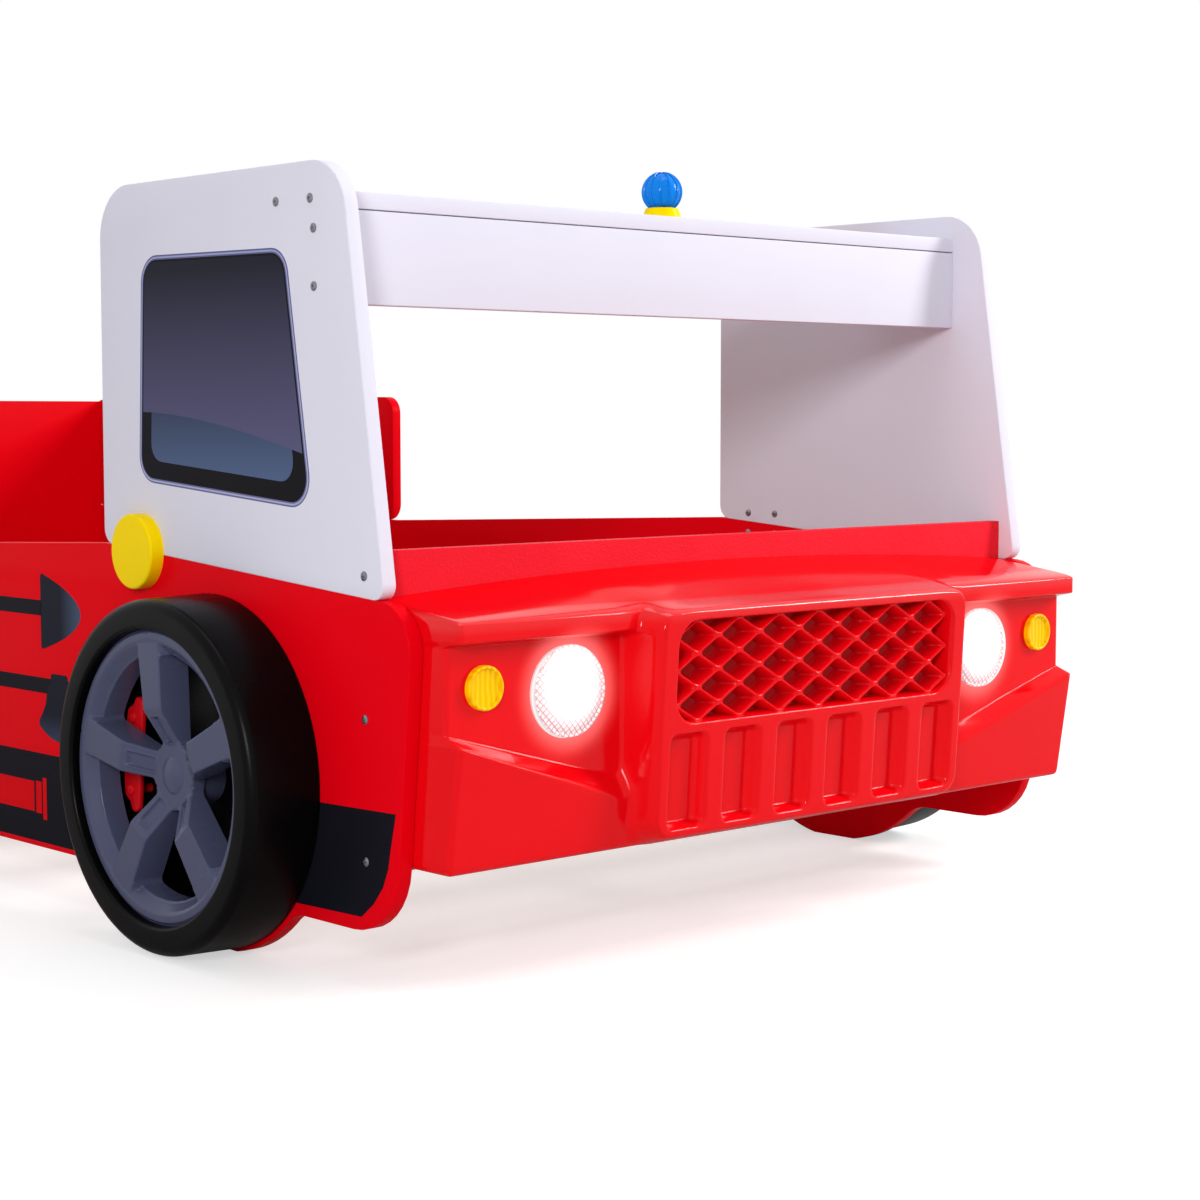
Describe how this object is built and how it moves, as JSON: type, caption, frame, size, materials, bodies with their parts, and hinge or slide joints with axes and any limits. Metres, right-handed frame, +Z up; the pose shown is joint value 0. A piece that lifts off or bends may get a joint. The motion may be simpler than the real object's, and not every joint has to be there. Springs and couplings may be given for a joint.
{
  "type": "fire engine bed",
  "caption": "Child's single bed shaped like a fire engine, with board sides and cab, a moulded front grille with headlights, plastic wheels, a roof beacon and a slatted base.",
  "frame": {"origin": "on the floor under the middle of the bed's overall length and width", "axes": "+Z up, -Y towards the engine's front, +X towards the right as seen by someone who stands in front of the bed"},
  "size_m": [1.106, 2.1994, 0.795],
  "materials": {
    "red_board": "red laminated board, satin",
    "white_board": "white laminated board, satin",
    "fascia_red": "glossy red moulded plastic",
    "tyre_black": "satin black plastic",
    "rim_grey": "satin blue-grey plastic",
    "caliper_red": "red plastic",
    "lens_clear": "clear faceted plastic",
    "lamp_white": "white reflector",
    "signal_yellow": "yellow plastic with a honeycomb texture",
    "disc_yellow": "glossy yellow plastic",
    "beacon_blue": "glossy blue plastic",
    "pine": "bare pine",
    "steel": "zinc-plated",
    "box_black": "black plastic",
    "knob_red": "red plastic",
    "cell": "wrapped metal cell"
  },
  "bodies": {
    "bed": {"battery_box": "box_black", "battery_cells": "cell", "battery_lid": "box_black", "beacon_base": "disc_yellow", "beacon_dome": "beacon_blue", "cab_panel_left": "white_board", "cab_panel_right": "white_board", "caliper_front_left": "caliper_red", "caliper_front_right": "caliper_red", "caliper_rear_left": "caliper_red", "caliper_rear_right": "caliper_red", "centre_beam": "pine", "connecting_disc_left": "disc_yellow", "connecting_disc_right": "disc_yellow", "disc_screws": "steel", "fascia": "fascia_red", "fascia_screws": "steel", "front_board": "red_board", "guard_dowels": "pine", "guard_left": "red_board", "guard_right": "red_board", "headboard": "red_board", "headlight_housing_left": "lamp_white", "headlight_housing_right": "lamp_white", "headlight_led_left": "lamp_white", "headlight_led_right": "lamp_white", "headlight_lens_left": "lens_clear", "headlight_lens_right": "lens_clear", "leg_front": "pine", "leg_rear": "pine", "panel_screws": "steel", "rim_front_left": "rim_grey", "rim_front_right": "rim_grey", "rim_rear_left": "rim_grey", "rim_rear_right": "rim_grey", "roof_front_board": "white_board", "roof_shelf": "white_board", "side_panel_left": "red_board", "side_panel_right": "red_board", "slat_01": "pine", "slat_02": "pine", "slat_03": "pine", "slat_04": "pine", "slat_05": "pine", "slat_06": "pine", "slat_07": "pine", "slat_08": "pine", "slat_09": "pine", "slat_10": "pine", "slat_rail_left": "pine", "slat_rail_right": "pine", "turn_signal_left": "signal_yellow", "turn_signal_right": "signal_yellow", "tyre_front_left": "tyre_black", "tyre_front_right": "tyre_black", "tyre_rear_left": "tyre_black", "tyre_rear_right": "tyre_black", "wheel_bolts": "steel"},
    "switch": {"switch_knob": "knob_red"}
  },
  "joints": [
    {"name": "switch_slide", "type": "slide", "parent": "bed", "child": "switch", "axis": [1, 0, 0], "range_m": [0, 0.004]}
  ]
}
